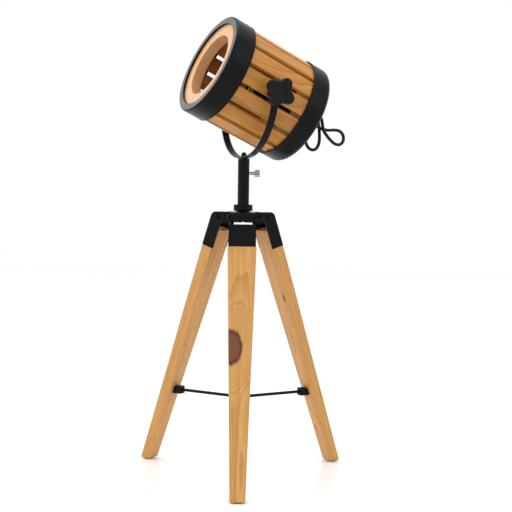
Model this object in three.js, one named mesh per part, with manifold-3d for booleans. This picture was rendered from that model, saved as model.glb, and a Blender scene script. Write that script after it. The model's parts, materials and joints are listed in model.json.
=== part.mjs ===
// Tripod spotlight lamp: a slatted wooden drum head in a steel yoke, on a short post
// over three splayed wooden legs. Millimetres, +Z up, the floor at Z = 0.
// The front leg points along -Y. The head is panned and tilted to its rest pose.
import * as THREE from 'three';
import { mergeVertices } from 'three/addons/utils/BufferGeometryUtils.js';
import Module from 'manifold-3d';

const wasm = await Module();
wasm.setup();

// ---------------------------------------------------------------- driving dimensions
const GAP = 0.3;                      // clearance between touching pieces

const LEG_NAMES = ['front', 'right', 'left'];
const LEG_AZIMUTHS = [-90, 30, 150].map(THREE.MathUtils.degToRad);
const LEG_FOOT_RADIUS = 156;          // leg centreline from the lamp's axis, at the floor
const LEG_TOP_RADIUS = 30.1;          // the same at the reference height
const LEG_REF_HEIGHT = 365;
const LEG_FOOT_WIDTH = 20;
const LEG_TOP_WIDTH = 42;             // width it would reach at the reference height
const LEG_FOOT_THICKNESS = 16;
const LEG_TOP_THICKNESS = 18.2;
const LEG_TOP_HEIGHT = 343;           // where the wood ends inside its cap
const LEG_EDGE_RADIUS = 1.4;
const GLIDE_HEIGHT = 1.7;
const GLIDE_RADIUS = 6;

const CAP_WIDTH = 37.4;
const CAP_SHEET = 1.6;
const CAP_BOTTOM_HEIGHT = 317.8;
const CAP_PLATE_TOP_HEIGHT = 350;
const CAP_TOP_HEIGHT = 366.5;
const CAP_ARM_BOTTOM_HEIGHT = 351;
const CAP_ARM_INNER_RADIUS = 12.6;
const CAP_EAR_RADIUS = 8;

const HUB_BOTTOM = 353.2;
const HUB_TOP = 365.6;
const LUG_LENGTH = 37.5;
const BOLT_HEIGHT = 359.2;
const BOLT_STATIONS = { pivot: 31.5, lock: 18.8 };   // from the lamp's axis
const BOLT_SHANK = 2.2;
const BOLT_HEAD = 3.5;

const BRACE_HEIGHT = 107;
const BRACE_ROD = 2.2;
const BRACE_CENTRE_RADIUS = 12.5;
const BLOCK_SIZE = 11;

const POST_RADIUS = 8;
const POST_BORE = 6.5;
const POST_SPIGOT = 5;
const POST_TOP = 440.4;
const POST_BORE_DEPTH = 58;
const COLLAR_RADIUS = 13.3;
const COLLAR_BOTTOM = 367.7;
const COLLAR_TOP = 376.6;
const SCREW_HEIGHT = 420;
const SCREW_SHANK = 2.1;
const SCREW_HEAD_START = 15.8;
const SCREW_HEAD_LENGTH = 6.6;

const TILT_AXIS_HEIGHT = 525;
const TILT_AXIS_SETBACK = 7.4;        // behind the post's axis, as the yoke leans back
const YOKE_SPIGOT = POST_BORE - GAP;
const YOKE_BOLT_SHANK = 2.4;
const STRAP_BOTTOM = POST_TOP + GAP;
const STRAP_WIDTH = 10;
const STRAP_SHEET = 2;
const STRAP_HALF_SPAN = 80;           // a yoke arm's mid-plane from the post's axis
const STRAP_FLAT = 4;                 // half length of the flat seat on the post
const STUD = 2.9;
const STUD_HEAD_SEAT = 63.7;
const SPACER_START = 68.2;
const KNOB_START = STRAP_HALF_SPAN + STRAP_SHEET / 2 + GAP;
const KNOB_BORE_DEPTH = 13;
const KNOB_TIP_RADIUS = 21;
const KNOB_WAIST_RADIUS = 14.6;
const KNOB_BOSS_LENGTH = 6;
const KNOB_STAR_LENGTH = 12;

const PAN = THREE.MathUtils.degToRad(-63.8);    // rest pose of the head about the post
const TILT = THREE.MathUtils.degToRad(-24.4);   // rest pose about the yoke's pivots
const KNOB_TURN = THREE.MathUtils.degToRad(55) - TILT;

const SLAT_COUNT = 15;
const SLAT_WIDTH = 22.4;
const SLAT_THICKNESS = 6;
const SLAT_FACE_RADIUS = 69.2;        // drum axis to the middle of a slat's outer face
const SLAT_FRONT = 73.4;
const SLAT_REAR = -68;
const PIVOT_SLATS = [4, 11];          // counted from the top slat, left then right
const DRUM_LIFT = 12.4;               // drum axis above the tilt axis
const FRONT_FACE = 76.3;              // drum stations are measured from the tilt axis,
const FRONT_BAND_REAR = 46.1;         // positive towards the open front
const REAR_BAND_FRONT = -52.5;
const REAR_FACE = -83.6;
const BAND_RADIUS = 71.8;
const BAND_SHEET = 1.2;
const RIM_INNER_RADIUS = 60.6;
const RIM_THICKNESS = 2.4;
const RING_RADIUS = SLAT_FACE_RADIUS - SLAT_THICKNESS - GAP;
const RING_THICKNESS = 15;
const MOUTH_RADIUS = 44.2;
const REAR_RING_INNER_RADIUS = 30;
const DRUM_SEGMENTS = 60;
const NIPPLE = 4.8;
const HOLDER_MOUTH = 5;
const HOLDER_BORE = 13.6;

const CORD_RADIUS = 2.3;
const GLAND_LENGTH = 26;
const HANK_CENTRE = [-38, 8];         // x and height of the hank behind the rear face
const HANK_RUN = 58;
const HANK_TURN_RADIUS = 20.9;
const HANK_FRONT = 4;                 // distance behind the rear face
const HANK_THICKNESS = 14.6;
const SWITCH_X = -77;
const SWITCH_DISTANCE = 11;
const SWITCH_LENGTH = 62;
const SWITCH_WIDTH = 22;
const SWITCH_DEPTH = 16;
const ROCKER_LENGTH = 15;
const ROCKER_WIDTH = 9;
const ROCKER_TILT = THREE.MathUtils.degToRad(-8);
const PLUG_CENTRE = [-50, 26.8];      // x and distance behind the rear face

// ---------------------------------------------------------------- materials
const finish = (color, roughness, metalness) =>
  new THREE.MeshStandardMaterial({ color, roughness, metalness });

const pine = () => finish(0xd9a869, 0.6, 0);
const slatPine = () => finish(0xc98a48, 0.6, 0);
const plywood = () => finish(0xdeb27f, 0.65, 0);
const blackSteel = () => finish(0x1c1c1e, 0.45, 0.6);
const blackPlastic = () => finish(0x161616, 0.6, 0);
const zincSteel = () => finish(0xb9b9b6, 0.35, 0.9);
const blackVinyl = () => finish(0x101010, 0.5, 0);

// ---------------------------------------------------------------- solid helpers
function toSolid(geometry) {
  const bare = geometry.clone();
  bare.deleteAttribute('normal');
  bare.deleteAttribute('uv');
  const merged = mergeVertices(bare, 1e-4);
  return new wasm.Manifold(new wasm.Mesh({
    numProp: 3,
    vertProperties: new Float32Array(merged.attributes.position.array),
    triVerts: new Uint32Array(merged.index.array),
  }));
}

function toGeometry(solid) {
  const result = solid.getMesh();
  const geometry = new THREE.BufferGeometry();
  geometry.setAttribute('position', new THREE.BufferAttribute(result.vertProperties, 3));
  geometry.setIndex(new THREE.BufferAttribute(result.triVerts, 1));
  geometry.computeVertexNormals();
  return geometry;
}

function cut(geometry, ...tools) {
  return toGeometry(tools.reduce((solid, tool) => solid.subtract(toSolid(tool)), toSolid(geometry)));
}

function join(geometry, ...others) {
  return toGeometry(others.reduce((solid, other) => solid.add(toSolid(other)), toSolid(geometry)));
}

function block(width, depth, height, x, y, z) {
  return new THREE.BoxGeometry(width, depth, height).translate(x, y, z);
}

// A round bar along X, Y or Z, from one station to another on that axis.
function bar(axis, radius, from, to, segments = 20) {
  const geometry = new THREE.CylinderGeometry(radius, radius, to - from, segments);
  geometry.translate(0, (from + to) / 2, 0);
  if (axis === 'x') geometry.rotateZ(-Math.PI / 2);
  if (axis === 'z') geometry.rotateX(Math.PI / 2);
  return geometry;
}

// A piece turned about +Z from [radius, height] points that run anticlockwise:
// outwards along the bottom, up the outside and back inwards along the top.
function turned(profile, segments = 32) {
  const points = profile.map(([radius, height]) => new THREE.Vector2(radius, height));
  const onAxis = points[0].x === 0 && points[points.length - 1].x === 0;
  if (!onAxis) points.push(points[0].clone());
  return new THREE.LatheGeometry(points, segments).rotateX(Math.PI / 2);
}

// Profile points along an arc, angles in degrees.
function arc(centreX, centreY, radius, from, to, steps) {
  return Array.from({ length: steps + 1 }, (_, i) => {
    const angle = THREE.MathUtils.degToRad(from + (to - from) * i / steps);
    return [centreX + radius * Math.cos(angle), centreY + radius * Math.sin(angle)];
  });
}

function outline(points) {
  return new THREE.Shape(points.map(([x, y]) => new THREE.Vector2(x, y)));
}

function roundedRectangle(width, height, radius) {
  const x = width / 2 - radius;
  const y = height / 2 - radius;
  const shape = new THREE.Shape();
  shape.absarc(x, y, radius, 0, Math.PI / 2);
  shape.absarc(-x, y, radius, Math.PI / 2, Math.PI);
  shape.absarc(-x, -y, radius, Math.PI, Math.PI * 1.5);
  shape.absarc(x, -y, radius, Math.PI * 1.5, Math.PI * 2);
  return shape;
}

function extruded(shape, depth, curveSegments = 3) {
  return new THREE.ExtrudeGeometry(shape, { depth, bevelEnabled: false, curveSegments });
}

function mesh(name, geometry, material) {
  const piece = new THREE.Mesh(geometry, material);
  piece.name = name;
  return piece;
}

// ---------------------------------------------------------------- legs and caps
const SPLAY = Math.atan2(LEG_FOOT_RADIUS - LEG_TOP_RADIUS, LEG_REF_HEIGHT);

const upTheLeg = (foot, top, z) => foot + (top - foot) * z / LEG_REF_HEIGHT;
const legRadiusAt = (z) => upTheLeg(LEG_FOOT_RADIUS, LEG_TOP_RADIUS, z);
const legWidthAt = (z) => upTheLeg(LEG_FOOT_WIDTH, LEG_TOP_WIDTH, z);
const legThicknessAt = (z) => upTheLeg(LEG_FOOT_THICKNESS, LEG_TOP_THICKNESS, z);
const legFaceAt = (z, side) => legRadiusAt(z) + side * legThicknessAt(z) / 2 / Math.cos(SPLAY);

// Legs and caps are drawn for a leg along +X: X radial, Y across the leg, Z up.
function alongLeg(geometry) {
  return geometry.rotateY(-SPLAY).translate(LEG_FOOT_RADIUS, 0, 0);
}

// A shape drawn in the leg's radial plane, given a width across the leg.
function acrossLeg(shape, width) {
  return extruded(shape, width, 5).rotateX(Math.PI / 2).translate(0, width / 2, 0);
}

function legGeometry() {
  const start = -12;
  const end = LEG_TOP_HEIGHT / Math.cos(SPLAY);
  const section = roundedRectangle(LEG_FOOT_THICKNESS, LEG_FOOT_WIDTH, LEG_EDGE_RADIUS);
  const board = extruded(section, end - start, 2).translate(0, 0, start);
  const position = board.attributes.position;
  for (let i = 0; i < position.count; i++) {
    const z = position.getZ(i) * Math.cos(SPLAY);
    position.setX(i, position.getX(i) * legThicknessAt(z) / LEG_FOOT_THICKNESS);
    position.setY(i, position.getY(i) * legWidthAt(z) / LEG_FOOT_WIDTH);
  }
  // Inside the cap the wood is rebated on its outer face and both sides.
  const capStart = CAP_BOTTOM_HEIGHT / Math.cos(SPLAY) - GAP;
  const tenonWidth = CAP_WIDTH - 2 * CAP_SHEET - 2 * GAP;
  const tenonFace = legThicknessAt(CAP_BOTTOM_HEIGHT) / 2 - CAP_SHEET - GAP;
  const around = block(60, 60, 80, 0, 0, capStart + 40);
  const tenon = block(40, tenonWidth, 100, tenonFace - 20, 0, capStart + 40);
  const belowFloor = block(80, 80, 60, LEG_FOOT_RADIUS, 0, GLIDE_HEIGHT + GAP - 30);
  return cut(alongLeg(board), belowFloor, alongLeg(cut(around, tenon)));
}

// The cap's side outline: sloping edge, rounded ear, and the arm that reaches the hub.
function capOutline() {
  const bottom = CAP_BOTTOM_HEIGHT;
  const half = legThicknessAt(bottom) / 2;
  const along = half * Math.cos(SPLAY);
  const rise = half * Math.sin(SPLAY);
  const earHeight = CAP_TOP_HEIGHT - CAP_EAR_RADIUS;
  const earCentre = legFaceAt(earHeight, 1) - CAP_EAR_RADIUS / Math.cos(SPLAY);
  const shape = new THREE.Shape();
  shape.moveTo(legRadiusAt(bottom) - along, bottom - rise);
  shape.lineTo(legRadiusAt(bottom) + along, bottom + rise);
  shape.absarc(earCentre, earHeight, CAP_EAR_RADIUS, SPLAY, Math.PI / 2);
  shape.lineTo(CAP_ARM_INNER_RADIUS, CAP_TOP_HEIGHT);
  shape.lineTo(CAP_ARM_INNER_RADIUS, CAP_ARM_BOTTOM_HEIGHT);
  shape.lineTo(legFaceAt(CAP_ARM_BOTTOM_HEIGHT, -1), CAP_ARM_BOTTOM_HEIGHT);
  shape.closePath();
  return shape;
}

function boltHoles() {
  return Object.values(BOLT_STATIONS).map((station) =>
    bar('y', BOLT_SHANK + GAP, -30, 30, 16).translate(station, 0, BOLT_HEIGHT));
}

function capGeometry() {
  const sheet = CAP_SHEET / Math.cos(SPLAY);
  const below = CAP_BOTTOM_HEIGHT - 20;
  const above = CAP_TOP_HEIGHT + 5;
  const plateTop = CAP_PLATE_TOP_HEIGHT;
  const channel = outline([
    [legFaceAt(below, 1) - sheet, below],
    [legFaceAt(plateTop, 1) - sheet, plateTop],
    [legFaceAt(plateTop, 1) + 10, plateTop],
    [legFaceAt(plateTop, 1) + 10, above],
    [0, above],
    [0, below],
  ]);
  const inside = acrossLeg(channel, CAP_WIDTH - 2 * CAP_SHEET);
  return cut(acrossLeg(capOutline(), CAP_WIDTH), inside, ...boltHoles());
}

// A button-head bolt across the cap and the lug, with its hexagon nut screwed home.
function boltGeometry(station) {
  const side = CAP_WIDTH / 2 + GAP;
  const dome = arc(0, 1.1, BOLT_HEAD, 0, 90, 5).map(([x, y]) => [x, 1.1 + (y - 1.1) * 0.6]);
  const head = turned([[0, 0], [BOLT_HEAD, 0], ...dome.slice(0, -1), [0, dome.at(-1)[1]]], 20);
  head.rotateX(Math.PI / 2).translate(0, -side, 0);
  const nut = bar('y', BOLT_HEAD, side, side + 2.6, 6);
  const shank = bar('y', BOLT_SHANK, -side - 0.1, side + 0.1, 16);
  return join(shank, head, nut).translate(station, 0, BOLT_HEIGHT);
}

// Three lugs on one centre, drilled for the bolts and for the post's spigot.
function hubGeometry() {
  const lugWidth = CAP_WIDTH - 2 * CAP_SHEET - 2 * GAP;
  const middle = (HUB_TOP + HUB_BOTTOM) / 2;
  const lugs = LEG_AZIMUTHS.map((azimuth) =>
    block(LUG_LENGTH, lugWidth, HUB_TOP - HUB_BOTTOM, LUG_LENGTH / 2, 0, middle).rotateZ(azimuth));
  // Neighbouring caps' arms reach into the corners between the lugs.
  const corners = LEG_AZIMUTHS.flatMap((azimuth) => [-1, 1].map((side) => {
    const width = 30;
    const y = side * (CAP_WIDTH / 2 - CAP_SHEET - GAP + width / 2);
    return block(60, width, 40, CAP_ARM_INNER_RADIUS - GAP + 30, y, middle).rotateZ(azimuth);
  }));
  const holes = LEG_AZIMUTHS.flatMap((azimuth) => boltHoles().map((hole) => hole.rotateZ(azimuth)));
  const bore = bar('z', POST_SPIGOT + GAP, HUB_BOTTOM - 1, HUB_TOP + 1, 24);
  return cut(join(...lugs), ...corners, ...holes, bore);
}

function glideGeometry() {
  return turned([[0, 0], [GLIDE_RADIUS - 0.6, 0], [GLIDE_RADIUS, 0.6],
    [GLIDE_RADIUS, GLIDE_HEIGHT], [0, GLIDE_HEIGHT]], 20).translate(LEG_FOOT_RADIUS, 0, 0);
}

// ---------------------------------------------------------------- brace
const blockBackAt = (z) => legFaceAt(z, -1) - GAP;

// The block is screwed to the leg's inner face, so its back slopes with the leg.
function braceBlockGeometry() {
  const low = BRACE_HEIGHT - BLOCK_SIZE / 2;
  const high = BRACE_HEIGHT + BLOCK_SIZE / 2;
  const inner = blockBackAt(high) - BLOCK_SIZE;
  const side = outline([[inner, low], [blockBackAt(low), low], [blockBackAt(high), high], [inner, high]]);
  const socket = bar('x', BRACE_ROD + GAP, inner - 2, inner + 6, 16).translate(0, 0, BRACE_HEIGHT);
  return cut(acrossLeg(side, BLOCK_SIZE), socket);
}

function braceGeometry() {
  const reach = blockBackAt(BRACE_HEIGHT + BLOCK_SIZE / 2) - BLOCK_SIZE + 5.5;
  const arms = LEG_AZIMUTHS.map((azimuth) => bar('x', BRACE_ROD, 0, reach, 12).rotateZ(azimuth));
  const edge = BRACE_CENTRE_RADIUS - 1;
  const centre = turned([[0, -3.2], [edge, -3.2], [edge + 1, -2.2], [edge + 1, 2.2],
    [edge, 3.2], [0, 3.2]]);
  return join(centre, ...arms).translate(0, 0, BRACE_HEIGHT);
}

// ---------------------------------------------------------------- post
function postGeometry() {
  const shoulder = HUB_TOP + GAP;
  const tube = turned([[0, HUB_BOTTOM], [POST_SPIGOT, HUB_BOTTOM], [POST_SPIGOT, shoulder],
    [POST_RADIUS, shoulder], [POST_RADIUS, POST_TOP - 0.6], [POST_RADIUS - 0.6, POST_TOP],
    [POST_BORE, POST_TOP], [POST_BORE, POST_TOP - POST_BORE_DEPTH], [0, POST_TOP - POST_BORE_DEPTH]]);
  return cut(tube, bar('x', SCREW_SHANK + GAP, 0, 20, 16).translate(0, 0, SCREW_HEIGHT));
}

function collarGeometry() {
  const bore = POST_RADIUS + GAP;
  const neck = 9.6;
  const ease = 0.8;
  return turned([[bore, HUB_TOP + GAP], [neck, HUB_TOP + GAP], [neck, COLLAR_BOTTOM],
    [COLLAR_RADIUS - ease, COLLAR_BOTTOM], [COLLAR_RADIUS, COLLAR_BOTTOM + ease],
    [COLLAR_RADIUS, COLLAR_TOP - ease], [COLLAR_RADIUS - ease, COLLAR_TOP], [bore, COLLAR_TOP]], 40);
}

// Knurled head, neck and shank along +X, its tip just short of the yoke's spigot.
function thumbScrewGeometry() {
  const teeth = 22;
  const knurl = outline(Array.from({ length: teeth * 2 }, (_, i) => {
    const radius = i % 2 ? 4.85 : 4.4;
    const angle = i * Math.PI / teeth;
    return [radius * Math.cos(angle), radius * Math.sin(angle)];
  }));
  const head = extruded(knurl, SCREW_HEAD_LENGTH).rotateY(Math.PI / 2).translate(SCREW_HEAD_START, 0, 0);
  const neck = bar('x', 3, SCREW_HEAD_START - 1.6, SCREW_HEAD_START + 0.1);
  const shank = bar('x', SCREW_SHANK, YOKE_SPIGOT + GAP, SCREW_HEAD_START + 0.1, 16);
  return join(head, neck, shank).translate(0, 0, SCREW_HEIGHT);
}

// ---------------------------------------------------------------- yoke
function spigotGeometry() {
  const bottom = POST_TOP - 50;
  const top = POST_TOP - 0.1;
  const pin = turned([[0, bottom], [YOKE_SPIGOT - 1, bottom], [YOKE_SPIGOT, bottom + 1],
    [YOKE_SPIGOT, top], [0, top]]);
  return cut(pin, bar('z', YOKE_BOLT_SHANK + GAP, POST_TOP - 20, POST_TOP + 5, 20));
}

// The strap: straight arms, two quarter bends and a short flat seat, with round ends.
// Its arms lean back from the seat to the tilt axis.
function strapGeometry() {
  const bend = STRAP_HALF_SPAN - STRAP_FLAT;
  const middle = STRAP_BOTTOM + STRAP_SHEET / 2 + bend;
  const side = (offset) => [
    [STRAP_HALF_SPAN + offset, TILT_AXIS_HEIGHT],
    ...arc(STRAP_FLAT, middle, bend + offset, 0, -90, 18),
    ...arc(-STRAP_FLAT, middle, bend + offset, -90, -180, 18),
    [-STRAP_HALF_SPAN - offset, TILT_AXIS_HEIGHT],
  ];
  const strip = outline([...side(STRAP_SHEET / 2), ...side(-STRAP_SHEET / 2).reverse()]);
  const strap = extruded(strip, STRAP_WIDTH).rotateX(Math.PI / 2).translate(0, STRAP_WIDTH / 2, 0);
  const ends = [-1, 1].map((end) => {
    const start = end * STRAP_HALF_SPAN - STRAP_SHEET / 2;
    return bar('x', STRAP_WIDTH / 2, start, start + STRAP_SHEET, 24).translate(0, 0, TILT_AXIS_HEIGHT);
  });
  const leaning = join(strap, ...ends);
  const seat = STRAP_BOTTOM + STRAP_SHEET;
  const position = leaning.attributes.position;
  for (let i = 0; i < position.count; i++) {
    const share = Math.max(0, (position.getZ(i) - seat) / (TILT_AXIS_HEIGHT - seat));
    position.setY(i, position.getY(i) + TILT_AXIS_SETBACK * share);
  }
  const studHole = bar('x', STUD + GAP, -100, 100)
    .translate(0, TILT_AXIS_SETBACK, TILT_AXIS_HEIGHT);
  const boltHole = bar('z', YOKE_BOLT_SHANK + GAP, STRAP_BOTTOM - 5, STRAP_BOTTOM + 8, 20);
  return cut(leaning, studHole, boltHole);
}

function yokeBoltGeometry() {
  const tip = POST_TOP - 15;
  const seat = STRAP_BOTTOM + STRAP_SHEET + GAP;
  const headRadius = 3.8;
  const dome = arc(0, seat + 2.4, headRadius, 0, 90, 5).slice(0, -1);
  return turned([[0, tip], [YOKE_BOLT_SHANK, tip], [YOKE_BOLT_SHANK, seat], [headRadius, seat],
    ...dome, [0, seat + 2.4 + headRadius]], 24);
}

// ---------------------------------------------------------------- head, drawn level
// Head frame: the tilt axis along X through the origin, the open front towards -Y.
// Drum pieces are drawn about +Z, front upwards, and laid down by this.
function aboutDrum(geometry) {
  return geometry.rotateX(Math.PI / 2).translate(0, 0, DRUM_LIFT);
}

function slatGeometry(index) {
  const length = SLAT_FRONT - SLAT_REAR;
  const plank = extruded(roundedRectangle(SLAT_THICKNESS, SLAT_WIDTH, 1), length, 2);
  plank.translate(SLAT_FACE_RADIUS - SLAT_THICKNESS / 2, 0, SLAT_REAR);
  const slat = aboutDrum(plank.rotateZ(Math.PI / 2 + 2 * Math.PI * index / SLAT_COUNT));
  if (!PIVOT_SLATS.includes(index)) return slat;
  // Faced flat inside and out for the stud's head and the spacer, and drilled.
  const side = index === PIVOT_SLATS[0] ? -1 : 1;
  const span = (radius, near, far) =>
    bar('x', radius, Math.min(side * near, side * far), Math.max(side * near, side * far));
  return cut(slat, span(8, SPACER_START - GAP, 90), span(7.5, 30, STUD_HEAD_SEAT + GAP),
    span(STUD + GAP, 30, 90));
}

function frontBandGeometry() {
  const round = 3;
  const ease = 1.2;
  const bore = BAND_RADIUS - BAND_SHEET;
  const back = FRONT_FACE - RIM_THICKNESS;
  return aboutDrum(turned([[bore, FRONT_BAND_REAR], [BAND_RADIUS, FRONT_BAND_REAR],
    ...arc(BAND_RADIUS - round, FRONT_FACE - round, round, 0, 90, 5),
    ...arc(RIM_INNER_RADIUS + ease, FRONT_FACE - ease, ease, 90, 180, 3),
    [RIM_INNER_RADIUS, back], [bore, back]], DRUM_SEGMENTS));
}

function rearCapGeometry() {
  const round = 9;
  const centre = [BAND_RADIUS - round, REAR_FACE + round];
  const bore = BAND_RADIUS - BAND_SHEET;
  return aboutDrum(turned([[NIPPLE + GAP, REAR_FACE + BAND_SHEET], [NIPPLE + GAP, REAR_FACE],
    ...arc(...centre, round, -90, 0, 6), [BAND_RADIUS, REAR_BAND_FRONT], [bore, REAR_BAND_FRONT],
    ...arc(...centre, round - BAND_SHEET, 0, -90, 6)], DRUM_SEGMENTS));
}

function ringGeometry(front, inner) {
  const back = front - RING_THICKNESS;
  const ease = 0.8;
  return aboutDrum(turned([[inner + ease, back], [RING_RADIUS, back], [RING_RADIUS, front],
    [inner + ease, front], [inner, front - ease], [inner, back + ease]], DRUM_SEGMENTS));
}

// A threaded nipple through the rear cap, a domed base, and a skirt around the bulb socket.
function lampHolderGeometry() {
  const back = REAR_FACE + BAND_SHEET + GAP;
  const mouth = HOLDER_MOUTH;
  return aboutDrum(turned([[0, REAR_FACE + GAP], [NIPPLE, REAR_FACE + GAP], [NIPPLE, back], [12, back],
    [15, back + 4], [15, back + 14], [19.5, back + 20], [19.5, mouth - 8], [20.5, mouth - 7],
    [20.5, mouth], [HOLDER_BORE, mouth], [HOLDER_BORE, mouth - 32], [0, mouth - 32]], 40));
}

function glandGeometry() {
  const end = REAR_FACE - GLAND_LENGTH;
  const start = REAR_FACE - GAP;
  return aboutDrum(turned([[0, end], [3.2, end], [4.4, start - 14], [5.2, start - 8],
    [7.5, start - 5], [10, start - 3], [10, start], [0, start]], 24));
}

// ---------------------------------------------------------------- clamping pieces
function spacerGeometry() {
  const bore = STUD + GAP;
  const length = STRAP_HALF_SPAN - STRAP_SHEET / 2 - GAP - SPACER_START;
  return turned([[bore, 0], [6.5, 0], [7, 0.5], [7, length - 0.5], [6.5, length], [bore, length]])
    .rotateY(Math.PI / 2).translate(SPACER_START, 0, 0);
}

// A round-headed bolt from inside the drum, out through slat, spacer and strap.
function studGeometry() {
  const end = KNOB_START + KNOB_BORE_DEPTH - GAP;
  return turned([[0, STUD_HEAD_SEAT - 3.4], [3.4, STUD_HEAD_SEAT - 3.2], [6, STUD_HEAD_SEAT - 1.8],
    [6.6, STUD_HEAD_SEAT], [STUD, STUD_HEAD_SEAT], [STUD, end - 0.6], [STUD - 0.6, end], [0, end]], 24)
    .rotateY(Math.PI / 2);
}

// Four rounded lobes on a boss, with a blind bore for the stud and a slightly domed face.
function knobGeometry() {
  const points = 48;
  const star = outline(Array.from({ length: points }, (_, i) => {
    const angle = 2 * Math.PI * i / points;
    const lobe = Math.min(1, 1.12 * (1 + Math.cos(4 * angle)) / 2);
    const radius = KNOB_WAIST_RADIUS + (KNOB_TIP_RADIUS - 1.2 - KNOB_WAIST_RADIUS) * lobe;
    return [radius * Math.cos(angle), radius * Math.sin(angle)];
  }));
  const bevel = 1.2;
  const body = new THREE.ExtrudeGeometry(star, {
    depth: KNOB_STAR_LENGTH - 2 * bevel, bevelSize: bevel, bevelThickness: bevel, bevelSegments: 2,
  });
  body.translate(0, 0, KNOB_BOSS_LENGTH + bevel);
  const boss = turned([[0, 0], [8, 0], [8, 1], [9.5, KNOB_BOSS_LENGTH + 0.5], [0, KNOB_BOSS_LENGTH + 0.5]]);
  const bore = bar('z', STUD + GAP, -1, KNOB_BORE_DEPTH, 20);
  return cut(join(body, boss), bore).rotateZ(KNOB_TURN).rotateY(Math.PI / 2).translate(KNOB_START, 0, 0);
}

// ---------------------------------------------------------------- cord, switch and plug
// Points behind the head: x, height above the drum's axis, distance behind the rear face.
const behind = ([x, height, distance]) => [x, distance - REAR_FACE, height + DRUM_LIFT];

const CORD_LEAD = [
  [0, 0, GLAND_LENGTH + GAP], [0, 0, 30], [0, 0, 37], [0, 3, 47.5], [0, 8, 57], [0.3, 10.5, 65.5], [1, 7.4, 72.9],
  [2, 0, 76], [3, -7.4, 72.9], [4, -10.5, 65.5], [5.3, -9.8, 56.5], [6.5, -6.8, 46.5],
  [7.5, -2, 37], [8.5, 5, 31.3], [9.7, 10.8, 25.5], [11, 13.5, 18.3], [12, 10.3, 10.5],
  [12.5, 2.5, 7.3], [12, -5, 9], [9.5, -12.5, 12.3], [6.5, -20, 16], [4.8, -26.5, 18.8],
  [4, -32, 23], [4, -35.5, 31], [3, -32.3, 38.8], [1.5, -24.5, 42], [-0.5, -16, 41.5],
  [-3, -7, 38.8], [-5.8, 2, 35.6], [-8, 8.5, 32.6], [-9.5, 13.4, 28.4], [-11, 15.5, 22],
  [-11.5, 12.3, 14.2], [-11, 4.5, 11], [-9.5, -5, 11.6], [-6.5, -14, 12.8], [-2.8, -21, 14],
  [-0.3, -27.5, 15.2], [0.6, -33.5, 15.9], [-2.3, -40.6, 16.2], [-9.4, -43.5, 16.2],
  [-16.5, -40.6, 16.2], [-19, -35.8, 16.2],
];
const CORD_TO_SWITCH = [
  [-50, 57.6, 7.2], [-55, 58.4, 7.6], [-61, 57.8, 8.4], [-67, 55.4, 9.3], [-72, 51, 10.2],
  [-75.5, 45.2, 10.8], [-77, 38.5, 11], [-77, 31.6, 11],
];
const CORD_TO_PLUG = [
  [-77, -31.6, 11], [-77, -38, 11.4], [-74, -46, 13.6], [-67, -51.5, 17.5], [-59, -51, 22],
  [-52.5, -44, 25.6], [-50, -35, 26.7], [-50, -31.4, 26.8],
];

// An eight-sided tube through hand-chosen points.
function cordGeometry(points, steps) {
  const curve = new THREE.CatmullRomCurve3(points.map((point) => new THREE.Vector3(...behind(point))));
  const section = outline(Array.from({ length: 8 }, (_, i) => {
    const angle = i * Math.PI / 4;
    return [CORD_RADIUS * Math.cos(angle), CORD_RADIUS * Math.sin(angle)];
  }));
  return new THREE.ExtrudeGeometry(section, { steps, extrudePath: curve, bevelEnabled: false });
}

// Pieces behind the head are drawn with X across, Y up and Z towards the rear face.
function behindHead(geometry, x, height, distance) {
  return geometry.rotateX(Math.PI / 2).translate(x, distance - REAR_FACE, height + DRUM_LIFT);
}

function hankGeometry() {
  const shape = new THREE.Shape();
  shape.absarc(0, HANK_RUN / 2, HANK_TURN_RADIUS, 0, Math.PI);
  shape.absarc(0, -HANK_RUN / 2, HANK_TURN_RADIUS, Math.PI, Math.PI * 2);
  const body = extruded(shape, HANK_THICKNESS, 12).translate(0, 0, -HANK_THICKNESS / 2);
  return behindHead(body, HANK_CENTRE[0], HANK_CENTRE[1], HANK_FRONT + HANK_THICKNESS / 2);
}

function switchBodyGeometry() {
  const body = extruded(roundedRectangle(SWITCH_WIDTH, SWITCH_LENGTH, 7), SWITCH_DEPTH, 4)
    .translate(0, 0, -SWITCH_DEPTH / 2);
  const pocket = block(ROCKER_WIDTH + 1, ROCKER_LENGTH + 1, 6, 0, 0, -SWITCH_DEPTH / 2);
  return behindHead(cut(body, pocket), SWITCH_X, 0, SWITCH_DISTANCE);
}

// The rocker pivots on a line across the switch, drawn pressed to one side.
function switchRockerGeometry() {
  const end = ROCKER_LENGTH / 2;
  const crown = outline([[-end, 0], [1.5 - end, -1.2], [end - 1.5, -1.2], [end, 0],
    [end - 0.6, 2.4], [0, 1.6], [0.6 - end, 2.4]]);
  const body = extruded(crown, ROCKER_WIDTH).rotateZ(ROCKER_TILT);
  body.rotateX(-Math.PI / 2).rotateZ(Math.PI / 2).translate(ROCKER_WIDTH / 2, 0, -SWITCH_DEPTH / 2);
  return behindHead(body, SWITCH_X, 0, SWITCH_DISTANCE);
}

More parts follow.
